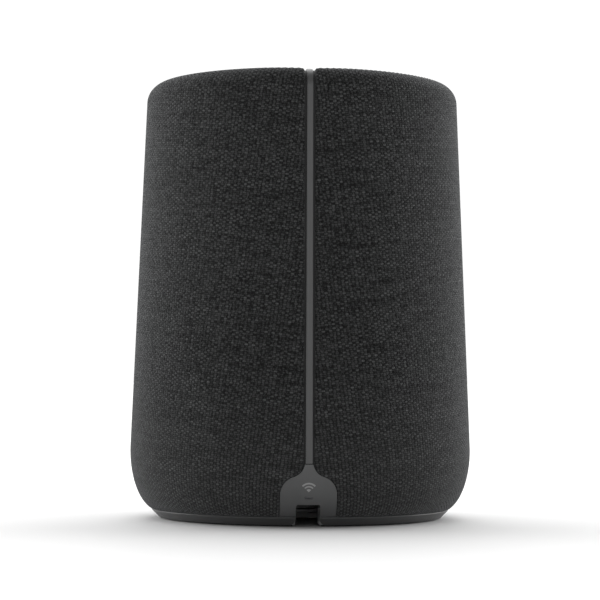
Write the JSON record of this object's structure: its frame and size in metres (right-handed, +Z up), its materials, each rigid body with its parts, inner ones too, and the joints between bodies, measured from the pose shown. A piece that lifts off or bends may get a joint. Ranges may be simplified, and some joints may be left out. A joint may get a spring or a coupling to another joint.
{
  "type": "smart speaker",
  "caption": "Tapered round tabletop voice speaker in a charcoal cloth sleeve, with a recessed key panel on top, a plastic rear spine, a bell-shaped rear panel and an underside power inlet.",
  "frame": {"origin": "centre of the base on the table", "axes": "+Z up, front (drivers) towards -Y, rear spine and cord notch towards +Y, +X to the right seen from the front"},
  "size_m": [0.1463, 0.1464, 0.187],
  "materials": {
    "aluminium": "extruded aluminium",
    "base_plastic": "satin charcoal",
    "basket_paint": "black powder coat",
    "black_gloss": "black connector plastic",
    "board_green": "solder mask over glass laminate",
    "cabinet_plastic": "ribbed moulded black",
    "capacitor_sleeve": "shrink-sleeved cans",
    "chip_black": "moulded chip packages",
    "cloth": "dark charcoal melange plain weave",
    "cone_paper": "coated pulp cone",
    "contact_metal": "plated contact pins",
    "copper": "enamelled copper winding",
    "dome_silk": "coated silk",
    "ferrite": "dark ferrite",
    "flex_white": "flat flexible cable",
    "foam": "closed-cell foam",
    "foot_rubber": "matte black silicone rubber",
    "key_plastic": "soft satin with printed pictograms",
    "lead_insulation": "flexible lead insulation",
    "light_guide": "milky light guide",
    "panel_plastic": "satin dark grey with a printed pictogram",
    "plated_steel": "zinc plated steel",
    "screw_steel": "black-zinc plated screws",
    "shell_plastic": "moulded black, fine texture",
    "shield_tin": "tinned steel shield",
    "spider_cloth": "resin-stiffened corrugated cloth",
    "spine_plastic": "satin dark grey",
    "surround_rubber": "butyl rubber",
    "switch_metal": "tact switch can",
    "top_plastic": "fine matte texture",
    "transformer_tape": "taped ferrite transformer"
  },
  "bodies": {
    "root": {"amplifier_heat_sink": "aluminium", "antennas": "flex_white", "base_ring": "base_plastic", "base_screws": "screw_steel", "board_screws": "screw_steel", "bottom_plate": "base_plastic", "cabinet_front": "cabinet_plastic", "cabinet_gasket": "foam", "cabinet_rear": "cabinet_plastic", "control_board": "board_green", "driver_leads": "lead_insulation", "fabric_cover": "cloth", "foot_ring": "foot_rubber", "front_grille": "shell_plastic", "inlet_pins": "contact_metal", "key_switches": "switch_metal", "light_pipes": "light_guide", "main_board": "board_green", "main_board_components": "chip_black", "mains_leads": "lead_insulation", "mic_gaskets": "foam", "microphones": "shield_tin", "outer_shell": "shell_plastic", "power_inlet": "black_gloss", "processor_shield": "shield_tin", "psu_board": "board_green", "psu_capacitors": "capacitor_sleeve", "rear_panel": "panel_plastic", "rear_spine_strip": "spine_plastic", "ribbon_cable": "flex_white", "service_port": "shield_tin", "supply_filter_parts": "chip_black", "supply_leads": "lead_insulation", "top_panel": "top_plastic", "top_trim_ring": "base_plastic", "transformer": "transformer_tape", "tweeter_faceplate": "cabinet_plastic", "tweeter_housing": "cabinet_plastic", "tweeter_motor": "plated_steel", "tweeter_screws": "screw_steel", "tweeter_surround": "surround_rubber", "wifi_light_window": "light_guide", "woofer_basket": "basket_paint", "woofer_front_plate": "plated_steel", "woofer_gasket": "foam", "woofer_magnet": "ferrite", "woofer_screws": "screw_steel", "woofer_spider": "spider_cloth", "woofer_surround": "surround_rubber", "woofer_terminals": "contact_metal", "woofer_yoke": "plated_steel"},
    "key_volume_down_body": {"key_volume_down": "key_plastic"},
    "key_volume_up_body": {"key_volume_up": "key_plastic"},
    "key_play_pause_body": {"key_play_pause": "key_plastic"},
    "key_mic_mute_body": {"key_mic_mute": "key_plastic"},
    "woofer_moving": {"woofer_cone": "cone_paper", "woofer_dust_cap": "cone_paper", "woofer_voice_coil": "copper"},
    "tweeter_moving": {"tweeter_dome": "dome_silk", "tweeter_voice_coil": "copper"}
  },
  "joints": [
    {"name": "key_volume_down_press", "type": "slide", "parent": "root", "child": "key_volume_down_body", "axis": [0, 0, 1], "range_m": [-0.0005, 0], "stiffness_N_per_m": 1500},
    {"name": "key_volume_up_press", "type": "slide", "parent": "root", "child": "key_volume_up_body", "axis": [0, 0, 1], "range_m": [-0.0005, 0], "stiffness_N_per_m": 1500},
    {"name": "key_play_pause_press", "type": "slide", "parent": "root", "child": "key_play_pause_body", "axis": [0, 0, 1], "range_m": [-0.0005, 0], "stiffness_N_per_m": 1500},
    {"name": "key_mic_mute_press", "type": "slide", "parent": "root", "child": "key_mic_mute_body", "axis": [0, 0, 1], "range_m": [-0.0005, 0], "stiffness_N_per_m": 1500},
    {"name": "woofer_stroke", "type": "slide", "parent": "root", "child": "woofer_moving", "axis": [0, -1, 0], "range_m": [-0.0035, 0.0035], "stiffness_N_per_m": 1200, "deforming": ["woofer_surround", "woofer_spider"]},
    {"name": "tweeter_stroke", "type": "slide", "parent": "root", "child": "tweeter_moving", "axis": [0, -1, 0], "range_m": [-0.0004, 0.0004], "stiffness_N_per_m": 3000, "deforming": ["tweeter_surround"]}
  ]
}
